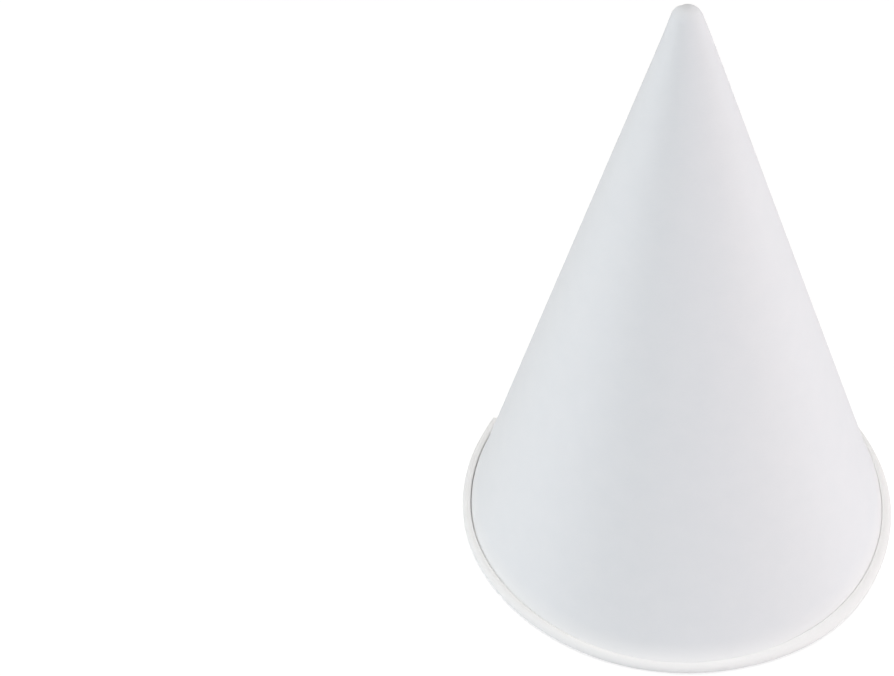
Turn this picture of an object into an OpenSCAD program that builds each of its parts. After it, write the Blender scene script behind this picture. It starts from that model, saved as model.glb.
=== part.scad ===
// Cone paper cup: one sheet wound into a cone, lapped and glued along its side, closed to a blunt tip
// and rolled outwards at the mouth. It stands on its rolled rim with the tip up. Millimetres.

/* [Cup] */
// Diameter over the rolled rim, clear of the lap
rim_d = 72; // [60:0.5:90]
// Height from the rim to the top of the blunt tip
cup_h = 95; // [75:0.5:125]

/* [Paper] */
// Thickness of the paper
paper_t = 0.25; // [0.18:0.01:0.32]
// Width of the glued lap, measured round the rim
lap_w = 12; // [6:0.5:20]
// Angle round the cup of the lap's outer edge
lap_angle = 157; // [0:1:359]

/* [Rolled rim] */
// Diameter of the rolled bead
bead_d = 1.8; // [1.6:0.1:3]
// Angle through which the paper is rolled
roll_turn = 420; // [280:5:480]
// Gap between one turn of the roll and the next
roll_gap = 0.1; // [0.06:0.01:0.14]
// Width of the flat pressed on the bead, on which the cup stands
land_w = 0.4; // [0.2:0.05:0.6]
// Distance from the roll at which the inner layer of the lap is trimmed
trim_w = 1.5; // [0.5:0.1:5]

/* [Tip] */
// Outside radius of the blunt tip
tip_r = 2.3; // [1.5:0.1:3.5]
// Diameter of the flat on top of the tip
tip_flat_d = 0.8; // [0.4:0.1:1.6]
// Thickness of the paper that is bunched at the tip
tip_t = 0.8; // [0.5:0.05:1.5]

/* [Hidden] */

$fn = 180;
// Angle between neighbouring points of an arc in the section
arc_step = 12;
quarter_turn = 90;
half_turn = 180;
// Points of the section and angles of the winding are rounded to these, so that its stretches meet exactly
point_grid = 0.0001;
angle_grid = 0.1;

function rounded(value, grid) = round(value / grid) * grid;

// The bead's centre in the section, with the pressed flat at height zero
bead_r = bead_d / 2;
land_angle = asin(land_w / bead_d);
bead_c = [rim_d / 2 - bead_r, bead_r * cos(land_angle)];

// The cone's half angle: its outer face touches the tip's round, and its inner face runs into the bead
tip_flat_angle = asin(tip_flat_d / 2 / tip_r);
tip_c = [0, cup_h - tip_r * cos(tip_flat_angle)];
tip_to_bead = tip_c - bead_c;
half_angle = acos((tip_r - paper_t + bead_r) / norm(tip_to_bead)) - atan2(tip_to_bead[1], -tip_to_bead[0]);
wall_normal = [cos(half_angle), sin(half_angle)];
wall_down = [sin(half_angle), -cos(half_angle)];

// The inside of the tip is rounder than the outside, by the thickness that is bunched there
inner_apex_z = tip_c[1] + (tip_r - paper_t) / sin(half_angle);
inner_tip_z = cup_h - tip_t;
inner_tip_r = (inner_apex_z - inner_tip_z) / (1 / sin(half_angle) - cos(tip_flat_angle));
inner_tip_c = [0, inner_tip_z - inner_tip_r * cos(tip_flat_angle)];

// One turn of the winding moves the sheet out by its own thickness, measured level
lap_step = rounded(paper_t / cos(half_angle), 2 * point_grid);
lap_turn = rounded(lap_w / (rim_d / 2) * half_turn / PI, angle_grid);

// One turn of the roll moves the sheet in by its own thickness and the gap
roll_pitch = paper_t + roll_gap;
roll_start = half_turn + half_angle;
roll_end = roll_start + roll_turn;

function polar(r, a) = r * [cos(a), sin(a)];

function reversed(points) = [for (i = [len(points) - 1 : -1 : 0]) points[i]];

function all_but_last(points) = [for (i = [0 : len(points) - 2]) points[i]];

// Points of the section, moved out from the axis by the winding
function moved(points, out) = [for (p = points) [rounded(p[0], point_grid) + out, rounded(p[1], point_grid)]];

// Points of an arc from angle a to angle b, both ends included
function arc(c, r, a, b) =
    let (n = ceil(abs(b - a) / arc_step))
    [for (i = [0 : n]) c + polar(r, a + (b - a) * i / n)];

// One face of the tip, from the axis over its flat to the wall
function tip_face(c, r, out) =
    let (face = moved(arc(c, r, quarter_turn - tip_flat_angle, half_angle), out))
    concat([[0, face[0][1]]], face);

// The roll is made of half circles, whose two centres lie half a pitch apart across the wall
function roll_centre(h) = bead_c + (h % 2) * roll_pitch / 2 * wall_normal;

function roll_radius(h) = bead_r - h * roll_pitch / 2;

// The bead's outside over its first half turn, with the flat on which the cup stands
function bead_face() =
    let (down = half_turn + quarter_turn)
    concat(
        arc(bead_c, bead_r, roll_start, down - land_angle),
        arc(bead_c, bead_r, down + land_angle, roll_start + half_turn)
    );

// One face of the roll, from the wall to the cut edge inside it, at a depth in the paper
function roll_face(depth) = [
    for (h = [0 : ceil(roll_turn / half_turn) - 1])
        let (
            a = roll_start + h * half_turn,
            b = min(a + half_turn, roll_end),
            turn = h == 0 && depth == 0 ? bead_face() : arc(roll_centre(h), roll_radius(h) - depth, a, b)
        )
        each (b < roll_end ? all_but_last(turn) : turn)
];

// The wall's inner face at the end of the lap's inner layer, trimmed short of the roll
trimmed_end = bead_c - bead_r * wall_normal - trim_w * wall_down;

// The sheet's section, from the tip to the cut edge inside the roll and back to the wall's inner face
function outside(out) = concat(
    tip_face(tip_c, tip_r, out),
    moved(roll_face(paper_t), out),
    moved(reversed(roll_face(0)), out)
);

function tip_inside(out) = reversed(tip_face(inner_tip_c, inner_tip_r, out));

// The section of the sheet by itself
module sheet_section(out) {
    polygon(concat(outside(out), tip_inside(out)));
}

// The section of the lap: the sheet one step out, with its inner layer under it
module lap_section() {
    polygon(concat(
        outside(lap_step),
        moved([trimmed_end], lap_step),
        moved([trimmed_end], 0),
        tip_inside(0)
    ));
}

// Turns a section about the axis from one angle to another
module wind(from, to) {
    rotate_extrude(angle = to - from, start = from) children();
}

// The winding is made of half cones. The second has its axis moved by half a step, so that the sheet comes
// round to its start one thickness further out, and goes on over the inner layer of the lap to its outer edge
module cone_cup() {
    color("white")
        rotate([0, 0, lap_angle + lap_turn])
            union() {
                wind(-half_turn, -lap_turn) sheet_section(0);
                translate([lap_step / 2, 0, 0])
                    wind(0, half_turn) sheet_section(lap_step / 2);
                wind(-lap_turn, 0) lap_section();
            }
}

cone_cup();
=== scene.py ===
"""A paper cone cup on its rim: one sheet, wound, lapped, closed at the tip and rolled at the mouth."""
import math

import bmesh
import bpy
from mathutils import Matrix, Vector


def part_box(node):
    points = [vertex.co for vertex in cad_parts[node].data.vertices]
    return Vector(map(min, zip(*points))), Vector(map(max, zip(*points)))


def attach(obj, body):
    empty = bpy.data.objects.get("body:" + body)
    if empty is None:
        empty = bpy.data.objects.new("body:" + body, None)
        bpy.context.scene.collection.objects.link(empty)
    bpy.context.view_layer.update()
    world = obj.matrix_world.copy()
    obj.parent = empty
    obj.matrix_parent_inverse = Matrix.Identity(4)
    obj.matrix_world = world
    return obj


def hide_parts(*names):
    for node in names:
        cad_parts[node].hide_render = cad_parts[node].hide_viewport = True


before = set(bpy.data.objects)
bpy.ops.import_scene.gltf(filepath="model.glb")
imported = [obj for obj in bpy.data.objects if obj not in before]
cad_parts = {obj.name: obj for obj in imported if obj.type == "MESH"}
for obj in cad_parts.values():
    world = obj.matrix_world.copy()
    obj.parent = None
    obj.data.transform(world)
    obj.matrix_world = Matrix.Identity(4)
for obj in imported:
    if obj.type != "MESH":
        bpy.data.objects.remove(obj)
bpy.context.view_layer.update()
_, cup_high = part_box("cone_cup")

MM = 0.001

# The cup's sizes. Its height and its rim, clear of the lap, come from the frame
CUP_HEIGHT = cup_high.z
RIM_RADIUS = cup_high.x
PAPER = 0.25 * MM
LAP_WIDTH = 12 * MM
LAP_EDGE_ANGLE = math.radians(157)
BEAD_RADIUS = 0.9 * MM
LAND_WIDTH = 0.4 * MM
ROLL_TURN = math.radians(420)
ROLL_GAP = 0.1 * MM
TRIM_WIDTH = 1.5 * MM
TIP_RADIUS = 2.3 * MM
TIP_FLAT_RADIUS = 0.4 * MM

# The sheet is a little thinner than its layers are apart, which leaves room for glue. Its tip is crowned
GLUE_ROOM = 0.012 * MM
TIP_CROWN = 0.04 * MM

# How finely the sheet is divided
LAP_COLUMNS = 16
TURN_COLUMNS = 304
TIP_ROWS = 9
WALL_ROWS = 26
FOOT_ROWS = 8
TRIM_ROWS = 8
BEAD_ROWS = 18
TOP_ROWS = 10
TUCK_ROWS = 4
END_ROWS = 4
CUT_EDGE_ANGLE = math.radians(50)

# The winding is centred at the tip, where it is twisted tight
TIP_CENTRING = 0.5

# The rim is slightly out of round: angle, half width and how far it stands out. It stays in the frame's box
RIM_SWELLINGS = [
    (311, 19, 0.09 * MM),
    (200, 13, 0.15 * MM),
    (238, 22, -0.10 * MM),
    (350, 18, -0.12 * MM),
    (25, 22, -0.15 * MM),
    (149, 9, -0.22 * MM),
]
ROUND_ROOM = 0.02 * MM

# The cone opens slightly wider towards the rim at two places: angle, half width and how far at the rim
WALL_FLARES = [
    (24, 13, 0.62 * MM),
    (162, 14, 0.10 * MM),
]
FLARE_POWER = 1.5

# It is drawn in slightly towards its tip
TIP_DRAWN_IN = 0.10 * MM

# The roll is fuller at one place: angle, half width and how far
ROLL_FULLNESS = [(311, 19, 0.40 * MM)]

# The cone leans a little to the right, and its very tip a little to the left
CONE_LEAN = 0.04 * MM
TIP_LEAN = 0.28 * MM
TIP_LEAN_POWER = 40

# The roll is pressed shut against the wall except at the back and left: angle, half width and share
ROLL_PRESSED = [(262, 54, 1.6), (344, 38, 0.62), (28, 20, 1.0)]

# The wall's foot leans out to the roll, most at its bend beside the crease: a little where the roll is
# loose and more where it is pressed. It leans more still at two places: angle, half width and how far
LOOSE_LEAN = 0.14 * MM
PRESSED_LEAN = 0.28 * MM
MORE_LEAN = [
    (272, 30, 0.56 * MM),
    (28, 13, 0.10 * MM),
]
FOOT_HEIGHT = 4.2 * MM
BEND_HEIGHT = 0.69 * MM
FOOT_BEND = 3

# The fold at the crease: its angle round the bead where the roll is loose, and how far before it the round
# part stops. Where the roll is pressed, the angle is worked out in a few steps
LOOSE_CREASE_ANGLE = math.radians(150)
FOLD_CLEAR_ANGLE = math.radians(18)
CREASE_STEPS = 12

# The lap's outer edge is cut a little askew, and its corner stands off a little at the rim
EDGE_SKEW = math.radians(1.8)
CORNER_LIFT = 0.32 * MM
CORNER_LIFT_TURN = math.radians(9)
CORNER_LIFT_POWER = 14

# One unit of the map on the flat blank is this much paper
MAP_UNIT = 0.1

# The camera, as it stood: it looks down on the cup and is turned to its left
CAMERA_AIM = Vector((0, 0, 0.040))
CAMERA_ELEVATION = math.radians(42.913)
CAMERA_DISTANCE = 0.21948
CAMERA_TURN = math.radians(9.263)
CAMERA_TILT = math.radians(-0.806)
CAMERA_ROLL = math.radians(1.647)
CAMERA_LENS = 57.12
SENSOR_WIDTH = 36
NEAREST_SEEN = 0.01

# Soft studio light: name, place, side of the softbox, watts, colour
SOFTBOXES = [
    ("overhead_softbox", Vector((0.0, -0.04, 2.54)), 1.2, 36.6, (1.0, 0.975, 0.95)),
    ("left_softbox", Vector((-0.47, -0.153, 0.11)), 0.2, 0.48, (1.0, 1.0, 0.905)),
    ("front_left_softbox", Vector((-0.38, -0.317, 0.13)), 0.2, 0.70, (0.825, 0.885, 1.0)),
    ("right_softbox", Vector((0.473, -0.145, 0.11)), 0.2, 1.27, (1.0, 0.945, 0.97)),
]
ROOM_LIGHT = 0.12

# The floor: its own pale colour, and the one with a white glow that the eye sees, so that shadows stay
# faint. The glow is full from some way off
FLOOR_SIDE = 4.0
FLOOR_PALE = (0.85, 0.85, 0.85, 1)
FLOOR_SEEN = (0.44, 0.44, 0.44, 1)
FLOOR_GLOW = 0.68
GLOW_STARTS = 0.2
GLOW_FULL = 0.8
FLOOR_ROUGHNESS = 0.9

# The paper's finish: the mottle's two whites, and a lighter, warmer white at the roll that fades in down
# the wall's foot. That white is painted light for the light that the bead and the foot catch
THIN_WHITE = (0.775, 0.795, 0.815, 1)
THICK_WHITE = (0.800, 0.815, 0.832, 1)
ROLL_PAINTED_LIGHT = (0.842, 0.846, 0.844, 1)
MOTTLE_LOW = 0.3
MOTTLE_HIGH = 0.7

# The mottle's clouds and fibres, counted on the map of the blank
CLOUD_SCALE = 28
CLOUD_DETAIL = 4
FIBRE_TURN = math.radians(35)
FIBRE_SCALE = (130, 700, 1)
FIBRE_DETAIL = 3
FIBRE_WAVER = 0.6
FIBRE_SHARE = 0.4

# How matt the paper is, and its tooth
PAPER_SHEEN = 0.3
ROUGHNESS_LOW = 0.62
ROUGHNESS_HIGH = 0.8
TOOTH_STRENGTH = 0.25
TOOTH_DEPTH = 0.012 * MM


def polar(centre, radius, angle):
    """A point of the section, as radius and height, on a circle."""
    return centre + radius * Vector((math.cos(angle), math.sin(angle)))


def cone_frame():
    """The section's fixed points: centres of the bead and the tip's round, and the cone's half angle."""
    land_angle = math.asin(LAND_WIDTH / 2 / BEAD_RADIUS)
    bead = Vector((RIM_RADIUS - BEAD_RADIUS, BEAD_RADIUS * math.cos(land_angle)))
    flat_angle = math.asin(TIP_FLAT_RADIUS / TIP_RADIUS)
    tip = Vector((0, CUP_HEIGHT - TIP_RADIUS * math.cos(flat_angle)))
    rise = tip - bead
    half = math.acos((TIP_RADIUS - PAPER + BEAD_RADIUS) / rise.length) - math.atan2(rise.y, -rise.x)
    return bead, tip, half, flat_angle


BEAD, TIP, HALF_ANGLE, TIP_FLAT_ANGLE = cone_frame()
WALL_NORMAL = Vector((math.cos(HALF_ANGLE), math.sin(HALF_ANGLE)))
WALL_DOWN = Vector((math.sin(HALF_ANGLE), -math.cos(HALF_ANGLE)))
LAP_STEP = PAPER / math.cos(HALF_ANGLE)
LAP_TURN = LAP_WIDTH / RIM_RADIUS
SHEET = PAPER - GLUE_ROOM


def arc(centre, radius, start, end, rows):
    """Points of an arc, its first one left out."""
    return [polar(centre, radius, start + (end - start) * i / rows) for i in range(1, rows + 1)]


def line(start, end, rows):
    """Points of a straight stretch, its first one left out."""
    return [start.lerp(end, i / rows) for i in range(1, rows + 1)]


def foot_lean(height, lean):
    """How far the wall's foot leans out, by the height above the bead's middle: most at its bend."""
    if height > FOOT_HEIGHT:
        return 0
    if height > BEND_HEIGHT:
        return lean * ((FOOT_HEIGHT - height) / (FOOT_HEIGHT - BEND_HEIGHT)) ** FOOT_BEND
    return lean * (1 + math.cos(math.pi * (BEND_HEIGHT - height) / (BEND_HEIGHT + BEAD_RADIUS))) / 2


def leaning(points, lean):
    """The wall's foot and the bead under it, leaning out; the bead's outer half stays as it is."""
    moved = []
    for point in points:
        on_wall_side = (point - BEAD).dot(WALL_NORMAL) < 0
        out = foot_lean((BEAD - point).dot(WALL_DOWN), lean) if on_wall_side else 0
        moved.append(point + out * WALL_NORMAL)
    return moved


def laid_on(points, distance):
    """A sheet that lies on the outer face of another at a distance; the end points are left out."""
    track = []
    for before, point, after in zip(points, points[1:], points[2:]):
        along = (after - before).normalized()
        track.append(point + distance * Vector((-along.y, along.x)))
    return track


def over_the_top(centre, radius, crease_angle):
    """The roll from its outer side over its top to the fold at the crease."""
    points = arc(centre, radius, HALF_ANGLE, HALF_ANGLE + crease_angle - FOLD_CLEAR_ANGLE, TOP_ROWS)
    return points + [polar(centre, radius, HALF_ANGLE + crease_angle)]


def loose_roll():
    """The rest of the roll after its first half turn, closing in clear of the leaning wall."""
    pitch = PAPER + ROLL_GAP + LOOSE_LEAN / 2
    centre = BEAD + pitch / 2 * WALL_NORMAL
    radius = BEAD_RADIUS - pitch / 2
    wall_side = math.pi + HALF_ANGLE
    points = over_the_top(centre, radius, LOOSE_CREASE_ANGLE)
    points += arc(centre, radius, HALF_ANGLE + LOOSE_CREASE_ANGLE, wall_side, TUCK_ROWS)
    return points + arc(BEAD, radius - pitch / 2, wall_side, wall_side + ROLL_TURN - math.tau, END_ROWS)


def pressed_crease(lean):
    """The angle round the bead at which the pressed roll meets the outer face of the leaning wall."""
    angle = math.pi / 2
    for _ in range(CREASE_STEPS):
        height = BEAD_RADIUS * math.sin(angle)
        angle = math.acos((foot_lean(height, lean) + PAPER + GLUE_ROOM) / BEAD_RADIUS - 1)
    return angle


def pressed_roll(wall, lean):
    """The rest of the roll where it is pressed shut: folded at the crease and laid down on the wall."""
    return over_the_top(BEAD, BEAD_RADIUS, pressed_crease(lean)) + laid_on(wall, PAPER + GLUE_ROOM)


def section(pressed, lean):
    """The sheet's inner face from the tip to its cut edge, and the rows of the trim and roll's start."""
    inner_tip = TIP_RADIUS - PAPER
    first = math.pi / 2 - TIP_FLAT_ANGLE
    points = [Vector((0, CUP_HEIGHT - PAPER)), polar(TIP, inner_tip, first) - Vector((0, TIP_CROWN))]
    points += arc(TIP, inner_tip, first, HALF_ANGLE, TIP_ROWS)
    wall_end = polar(BEAD, BEAD_RADIUS, math.pi + HALF_ANGLE)
    trim_end = wall_end - TRIM_WIDTH * WALL_DOWN
    foot_top = wall_end - FOOT_HEIGHT * WALL_DOWN
    points += line(points[-1], foot_top, WALL_ROWS)
    foot = line(foot_top, trim_end, FOOT_ROWS) + line(trim_end, wall_end, TRIM_ROWS)
    roll_row = len(points) + len(foot) - 1
    bead = arc(BEAD, BEAD_RADIUS, math.pi + HALF_ANGLE, math.tau + HALF_ANGLE, BEAD_ROWS)
    points += leaning(foot + bead, lean)
    if pressed:
        points += pressed_roll(points[roll_row - TUCK_ROWS:roll_row + END_ROWS + 2], lean)
    else:
        points += loose_roll()
    for point in points:
        point.y = max(point.y, 0)
    return points, roll_row - TRIM_ROWS, roll_row


def winding():
    """Angles of the sheet's columns, from the lap's inner edge once round and on to its outer edge."""
    lap = [LAP_TURN * i / LAP_COLUMNS for i in range(LAP_COLUMNS)]
    return lap + [LAP_TURN + math.tau * i / TURN_COLUMNS for i in range(TURN_COLUMNS + 1)]


def lap_growth(wound):
    """How far the second half turn has brought the sheet out, so that it passes over its own start."""
    share = min(max(wound / math.pi - 1, 0), 1)
    return LAP_STEP * (1 - math.cos(math.pi * share)) / 2


def corner_lift(wound):
    """How far the lap's outer edge stands off, at the rim."""
    share = max(1 - (LAP_TURN + math.tau - wound) / CORNER_LIFT_TURN, 0)
    return CORNER_LIFT * share ** 2


def edge_skew(wound):
    """How far the lap's outer edge runs past its place, at the rim."""
    return EDGE_SKEW * max(1 - (LAP_TURN + math.tau - wound) / LAP_TURN, 0)


def sideways(down):
    """How far the cone stands to the right of its axis, by the share of the way down from its tip."""
    return CONE_LEAN * (1 - down) - TIP_LEAN * (1 - down) ** TIP_LEAN_POWER


def outer_share(point):
    """How far out a point of the roll lies: nought up to the bead's middle, one at its outermost."""
    return max((point - BEAD).dot(WALL_NORMAL), 0) / BEAD_RADIUS


def wall_share(rows):
    """How much a row moves with the wall: wholly at the wall and inside the roll, not at its outermost."""
    if rows <= BEAD_ROWS:
        return (1 + math.cos(math.pi * max(rows, 0) / BEAD_ROWS)) / 2
    return (1 - math.cos(math.pi * min((rows - BEAD_ROWS) / (TOP_ROWS + 1), 1))) / 2


def bumps(azimuth, humps):
    """The sum of soft humps round the cup, each with its angle, half width and height."""
    total = 0
    for angle, half_width, height in humps:
        away = math.remainder(azimuth - math.radians(angle), math.tau) / math.radians(half_width)
        total += height * math.exp(-away * away)
    return total


def wound_sheet():
    """The paper sheet as a grid, wound into the cup, with a map of the flat blank."""
    points, trim_row, roll_row = section(False, LOOSE_LEAN)
    turns = winding()
    azimuths = [LAP_EDGE_ANGLE + LAP_TURN - turn for turn in turns]
    pressed = [section(True, PRESSED_LEAN + bumps(azimuth, MORE_LEAN))[0] for azimuth in azimuths]
    columns = len(turns) - 1
    rows = len(points) - 1
    bm = bmesh.new()
    # A mask for painted light: the roll and the wall's foot are painted lighter and warmer
    rim = bm.verts.layers.float.new("rim")
    blank = bm.loops.layers.uv.new("blank")
    bmesh.ops.create_grid(bm, x_segments=columns, y_segments=rows, size=1)
    place = {v: (round((v.co.x + 1) / 2 * columns), round((1 - v.co.y) / 2 * rows)) for v in bm.verts}

    slant = [0.0]
    for a, b in zip(points, points[1:]):
        slant.append(slant[-1] + (b - a).length)
    for face in bm.faces:
        for loop in face.loops:
            column, row = place[loop.vert]
            spread = turns[column] * math.sin(HALF_ANGLE)
            loop[blank].uv = slant[row] / MAP_UNIT * Vector((math.cos(spread), math.sin(spread)))

    for vert, (column, row) in place.items():
        azimuth = azimuths[column]
        point = points[row].lerp(pressed[column][row], min(bumps(azimuth, ROLL_PRESSED), 1))
        # Painted light: full on the roll and fading to nought up the wall's foot
        vert[rim] = min(max((row - roll_row) / (FOOT_ROWS + TRIM_ROWS) + 1, 0), 1)
        down = min(slant[row] / slant[roll_row], 1)
        azimuth -= down * edge_skew(turns[column])
        growth = lap_growth(turns[column]) - LAP_STEP * TIP_CENTRING * (1 - down)
        swelling = down * (bumps(azimuth, RIM_SWELLINGS) - ROUND_ROOM)
        swelling += outer_share(point) * bumps(azimuth, ROLL_FULLNESS)
        swelling += wall_share(row - roll_row) * down ** FLARE_POWER * bumps(azimuth, WALL_FLARES)
        swelling -= TIP_DRAWN_IN * (1 - down) ** 2 * min(point.x / TIP_RADIUS, 1)
        lift = down ** CORNER_LIFT_POWER * corner_lift(turns[column])
        radius = point.x + growth + swelling + lift
        vert.co = radius * math.cos(azimuth) + sideways(down), radius * math.sin(azimuth), point.y

    corner = [
        f for f in bm.faces
        if all(place[v][0] <= LAP_COLUMNS and place[v][1] >= trim_row for v in f.verts)
    ]
    pole = [v for v, (column, row) in place.items() if row == 0]
    bmesh.ops.delete(bm, geom=corner, context="FACES")
    bmesh.ops.pointmerge(bm, verts=pole, merge_co=Vector((sideways(0), 0, points[0].y)))
    return bm


def build_cup():
    """The wound sheet with its thickness, crisp at its cut edges and smooth elsewhere."""
    bm = wound_sheet()
    bmesh.ops.solidify(bm, geom=bm.faces[:], thickness=SHEET)
    for face in bm.faces:
        face.smooth = True
    for edge in bm.edges:
        edge.smooth = edge.calc_face_angle(0) < CUT_EDGE_ANGLE
    mesh = bpy.data.meshes.new("paper_cup")
    bm.to_mesh(mesh)
    bm.free()
    cup = bpy.data.objects.new("paper_cup", mesh)
    bpy.context.scene.collection.objects.link(cup)
    cup.data.materials.append(cup_paper())
    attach(cup, "root")
    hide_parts("cone_cup")


def new_material(name):
    """A material with its nodes, its links and its shader."""
    material = bpy.data.materials.new(name)
    material.use_nodes = True
    nodes = material.node_tree.nodes
    return material, nodes, material.node_tree.links, nodes["Principled BSDF"]


def cup_paper():
    """Matt white cup paper: cloudy formation, fibres along the blank, and painted light, with the roll and
    the wall's foot painted lighter and warmer.
    """
    material, nodes, links, paper = new_material("cup_paper")
    paper.inputs["Specular IOR Level"].default_value = PAPER_SHEEN

    blank = nodes.new("ShaderNodeUVMap")
    blank.uv_map = "blank"

    clouds = nodes.new("ShaderNodeTexNoise")
    clouds.inputs["Scale"].default_value = CLOUD_SCALE
    clouds.inputs["Detail"].default_value = CLOUD_DETAIL
    links.new(blank.outputs["UV"], clouds.inputs["Vector"])

    along = nodes.new("ShaderNodeMapping")
    along.inputs["Rotation"].default_value = (0, 0, FIBRE_TURN)
    along.inputs["Scale"].default_value = FIBRE_SCALE
    links.new(blank.outputs["UV"], along.inputs["Vector"])
    fibres = nodes.new("ShaderNodeTexNoise")
    fibres.inputs["Scale"].default_value = 1
    fibres.inputs["Detail"].default_value = FIBRE_DETAIL
    fibres.inputs["Distortion"].default_value = FIBRE_WAVER
    links.new(along.outputs["Vector"], fibres.inputs["Vector"])

    mottle = nodes.new("ShaderNodeMix")
    mottle.data_type = "FLOAT"
    mottle.inputs["Factor"].default_value = FIBRE_SHARE
    links.new(clouds.outputs["Fac"], mottle.inputs["A"])
    links.new(fibres.outputs["Fac"], mottle.inputs["B"])

    white = nodes.new("ShaderNodeValToRGB")
    white.color_ramp.elements[0].position = MOTTLE_LOW
    white.color_ramp.elements[0].color = THIN_WHITE
    white.color_ramp.elements[1].position = MOTTLE_HIGH
    white.color_ramp.elements[1].color = THICK_WHITE
    links.new(mottle.outputs["Result"], white.inputs["Fac"])

    rim = nodes.new("ShaderNodeAttribute")
    rim.attribute_name = "rim"
    # Painted light: the lighter, warmer white is mixed in at the roll and down the wall's foot
    tone = nodes.new("ShaderNodeMix")
    tone.data_type = "RGBA"
    tone.inputs["B"].default_value = ROLL_PAINTED_LIGHT
    links.new(rim.outputs["Fac"], tone.inputs["Factor"])
    links.new(white.outputs["Color"], tone.inputs["A"])
    links.new(tone.outputs["Result"], paper.inputs["Base Color"])

    matt = nodes.new("ShaderNodeMapRange")
    matt.inputs["To Min"].default_value = ROUGHNESS_LOW
    matt.inputs["To Max"].default_value = ROUGHNESS_HIGH
    links.new(mottle.outputs["Result"], matt.inputs["Value"])
    links.new(matt.outputs["Result"], paper.inputs["Roughness"])

    tooth = nodes.new("ShaderNodeBump")
    tooth.inputs["Strength"].default_value = TOOTH_STRENGTH
    tooth.inputs["Distance"].default_value = TOOTH_DEPTH
    links.new(fibres.outputs["Fac"], tooth.inputs["Height"])
    links.new(tooth.outputs["Normal"], paper.inputs["Normal"])
    return material


def seen_by_eye(nodes, links):
    """One for the rays that look at the floor or the room, and nought for the light on the cup."""
    path = nodes.new("ShaderNodeLightPath")
    direct = nodes.new("ShaderNodeMath")
    direct.operation = "MAXIMUM"
    links.new(path.outputs["Is Camera Ray"], direct.inputs[0])
    links.new(path.outputs["Is Glossy Ray"], direct.inputs[1])
    seen = nodes.new("ShaderNodeMath")
    seen.operation = "MAXIMUM"
    links.new(direct.outputs["Value"], seen.inputs[0])
    links.new(path.outputs["Is Transmission Ray"], seen.inputs[1])
    return seen.outputs["Value"]


def floor_white():
    """A pale floor that looks white and keeps the cup's shadow, softened."""
    material, nodes, links, surface = new_material("floor_white")
    surface.inputs["Roughness"].default_value = FLOOR_ROUGHNESS
    surface.inputs["Specular IOR Level"].default_value = 0.0
    seen = seen_by_eye(nodes, links)
    colour = nodes.new("ShaderNodeMix")
    colour.data_type = "RGBA"
    colour.inputs["A"].default_value = FLOOR_PALE
    colour.inputs["B"].default_value = FLOOR_SEEN
    links.new(seen, colour.inputs["Factor"])
    links.new(colour.outputs["Result"], surface.inputs["Base Color"])
    place = nodes.new("ShaderNodeTexCoord")
    distance = nodes.new("ShaderNodeVectorMath")
    distance.operation = "LENGTH"
    links.new(place.outputs["Object"], distance.inputs[0])
    strength = nodes.new("ShaderNodeMapRange")
    strength.inputs["From Min"].default_value = GLOW_STARTS
    strength.inputs["From Max"].default_value = GLOW_FULL
    strength.inputs["To Min"].default_value = FLOOR_GLOW
    strength.inputs["To Max"].default_value = 1.0
    links.new(distance.outputs["Value"], strength.inputs["Value"])
    glow = nodes.new("ShaderNodeMath")
    glow.operation = "MULTIPLY"
    links.new(seen, glow.inputs[0])
    links.new(strength.outputs["Result"], glow.inputs[1])
    surface.inputs["Emission Color"].default_value = (1, 1, 1, 1)
    links.new(glow.outputs["Value"], surface.inputs["Emission Strength"])
    return material


def build_floor():
    """A plain pale floor, which belongs to the studio."""
    bm = bmesh.new()
    bmesh.ops.create_grid(bm, x_segments=1, y_segments=1, size=FLOOR_SIDE / 2)
    mesh = bpy.data.meshes.new("floor")
    bm.to_mesh(mesh)
    bm.free()
    floor = bpy.data.objects.new("floor", mesh)
    bpy.context.scene.collection.objects.link(floor)
    mesh.materials.append(floor_white())


def build_lights():
    """Square softboxes, all turned to the cup."""
    for name, place, side, watts, colour in SOFTBOXES:
        lamp = bpy.data.lights.new(name, "AREA")
        lamp.shape = "SQUARE"
        lamp.size = side
        lamp.energy = watts
        lamp.color = colour
        softbox = bpy.data.objects.new(name, lamp)
        aim = CAMERA_AIM - place
        softbox.matrix_world = Matrix.Translation(place) @ aim.to_track_quat("-Z", "Y").to_matrix().to_4x4()
        bpy.context.scene.collection.objects.link(softbox)


def build_world():
    """An even room light, which the camera sees as a white backdrop."""
    world = bpy.data.worlds.new("room")
    bpy.context.scene.world = world
    world.use_nodes = True
    nodes = world.node_tree.nodes
    links = world.node_tree.links
    room = nodes["Background"]
    room.inputs["Color"].default_value = (1, 1, 1, 1)
    strength = nodes.new("ShaderNodeMapRange")
    strength.inputs["To Min"].default_value = ROOM_LIGHT
    strength.inputs["To Max"].default_value = 1.0
    links.new(seen_by_eye(nodes, links), strength.inputs["Value"])
    links.new(strength.outputs["Result"], room.inputs["Strength"])


def build_camera():
    """The camera at its place in front of the cup and above it."""
    data = bpy.data.cameras.new("camera")
    data.lens = CAMERA_LENS
    data.sensor_fit = "HORIZONTAL"
    data.sensor_width = SENSOR_WIDTH
    data.clip_start = NEAREST_SEEN
    camera = bpy.data.objects.new("camera", data)
    forward = Vector((0, math.cos(CAMERA_ELEVATION), -math.sin(CAMERA_ELEVATION)))
    camera.matrix_world = (
        Matrix.Translation(CAMERA_AIM - CAMERA_DISTANCE * forward)
        @ Matrix.Rotation(math.pi / 2 - CAMERA_ELEVATION, 4, "X")
        @ Matrix.Rotation(CAMERA_TURN, 4, "Y")
        @ Matrix.Rotation(CAMERA_TILT, 4, "X")
        @ Matrix.Rotation(CAMERA_ROLL, 4, "Z")
    )
    bpy.context.scene.collection.objects.link(camera)
    bpy.context.scene.camera = camera


build_camera()
build_cup()
build_floor()
build_lights()
build_world()
bpy.context.scene.view_settings.view_transform = "Standard"
